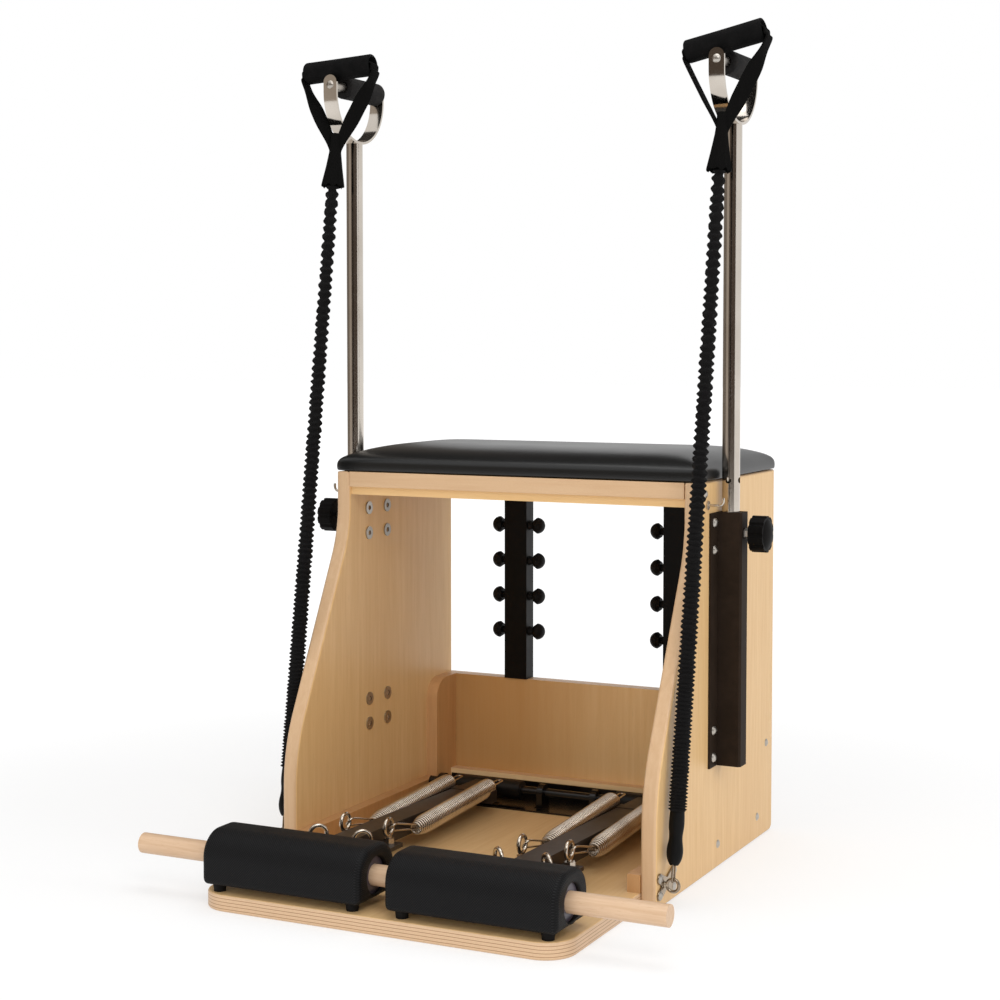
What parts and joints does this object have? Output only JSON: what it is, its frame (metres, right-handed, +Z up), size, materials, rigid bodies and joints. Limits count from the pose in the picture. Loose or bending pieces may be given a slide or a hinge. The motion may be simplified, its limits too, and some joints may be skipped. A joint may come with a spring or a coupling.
{
  "type": "pilates chair",
  "caption": "Plywood exercise chair with a padded seat, split spring pedals joined by a dowel, height-adjustable side posts with grips, and elastic arm cords.",
  "frame": {"origin": "middle of the overall box on the floor under the chair, with the posts at their pictured height and the pedals down", "axes": "+X to the right as seen from the pedals' end, along the dowel; +Y from the pedals to the back; +Z up"},
  "size_m": [0.828, 0.792, 1.2745],
  "materials": {
    "plywood": "clear satin lacquer",
    "beech": "clear satin lacquer",
    "seat_vinyl": "smooth satin vinyl",
    "pedal_vinyl": "fine dimpled grip vinyl",
    "dark_steel": "dark bronze satin powder coat",
    "black_steel": "black satin powder coat",
    "black_plastic": "matt moulded",
    "stud_steel": "black",
    "polished_steel": "polished",
    "zinc_steel": "bright zinc",
    "foam": "matt closed-cell foam",
    "webbing": "woven webbing",
    "cord_sleeve": "gathered woven sleeve",
    "cord_rubber": "matt",
    "bumper_rubber": "matt",
    "bush_plastic": "plain"
  },
  "bodies": {
    "chair": {"base_board": "plywood", "side_panel_left": "plywood", "side_panel_right": "plywood", "seat_board": "plywood", "seat_front_rail": "plywood", "seat_pad": "seat_vinyl", "back_board": "plywood", "side_cleats": "plywood", "rear_batten": "plywood", "spring_tree_left": "black_steel", "spring_tree_right": "black_steel", "tree_studs": "stud_steel", "tree_knobs": "black_plastic", "post_holder_left": "dark_steel", "post_holder_right": "dark_steel", "holder_bolts": "zinc_steel", "tee_nuts": "zinc_steel", "wood_screws": "zinc_steel", "axle_shaft": "black_steel", "axle_plate": "black_steel", "bearing_blocks": "black_steel", "cord_anchors": "polished_steel", "storage_hooks": "polished_steel", "cord_ends": "black_plastic", "cord_links": "polished_steel", "cord_sleeve_left": "cord_sleeve", "cord_sleeve_right": "cord_sleeve", "cord_core_left": "cord_rubber", "cord_core_right": "cord_rubber"},
    "post_left": {"post_left": "polished_steel", "hand_grip_left": "foam", "grip_rod_left": "zinc_steel", "strap_bar_left": "foam", "hand_strap_left": "webbing"},
    "clamp_left": {"clamp_knob_left": "black_plastic", "clamp_stud_left": "zinc_steel"},
    "pedal_left": {"pedal_frame_left": "dark_steel", "hub_bushes_left": "bush_plastic", "pedal_core_left": "plywood", "pedal_pad_left": "pedal_vinyl", "pedal_end_plates_left": "black_steel", "pedal_bumpers_left": "bumper_rubber", "eye_bolts_left": "polished_steel", "springs_left": "polished_steel"},
    "post_right": {"post_right": "polished_steel", "hand_grip_right": "foam", "grip_rod_right": "zinc_steel", "strap_bar_right": "foam", "hand_strap_right": "webbing"},
    "clamp_right": {"clamp_knob_right": "black_plastic", "clamp_stud_right": "zinc_steel"},
    "pedal_right": {"pedal_frame_right": "dark_steel", "hub_bushes_right": "bush_plastic", "pedal_core_right": "plywood", "pedal_pad_right": "pedal_vinyl", "pedal_end_plates_right": "black_steel", "pedal_bumpers_right": "bumper_rubber", "eye_bolts_right": "polished_steel", "springs_right": "polished_steel"},
    "dowel": {"dowel": "beech"}
  },
  "joints": [
    {"name": "pedal_left_swing", "type": "hinge", "parent": "chair", "child": "pedal_left", "pos_m": [-0.148, 0.266, 0.05], "axis": [-1, 0, 0], "range_deg": [0, 42]},
    {"name": "pedal_right_swing", "type": "hinge", "parent": "chair", "child": "pedal_right", "pos_m": [0.148, 0.266, 0.05], "axis": [-1, 0, 0], "range_deg": [0, 42]},
    {"name": "dowel_slide", "type": "slide", "parent": "pedal_left", "child": "dowel", "axis": [-1, 0, 0], "range_m": [0, 0.7]},
    {"name": "post_left_slide", "type": "slide", "parent": "chair", "child": "post_left", "axis": [0, 0, 1], "range_m": [-0.08, 0.15], "deforming": ["cord_sleeve_left", "cord_core_left"]},
    {"name": "post_right_slide", "type": "slide", "parent": "chair", "child": "post_right", "axis": [0, 0, 1], "range_m": [-0.08, 0.15], "deforming": ["cord_sleeve_right", "cord_core_right"]},
    {"name": "clamp_left_turn", "type": "hinge", "parent": "chair", "child": "clamp_left", "pos_m": [-0.369, 0.13, 0.516], "axis": [-1, 0, 0], "range_deg": [-540, 0]},
    {"name": "clamp_right_turn", "type": "hinge", "parent": "chair", "child": "clamp_right", "pos_m": [0.369, 0.13, 0.516], "axis": [1, 0, 0], "range_deg": [-540, 0]}
  ],
  "couplings": [
    {"joint": "pedal_right_swing", "follows": "pedal_left_swing", "ratio": 1}
  ]
}
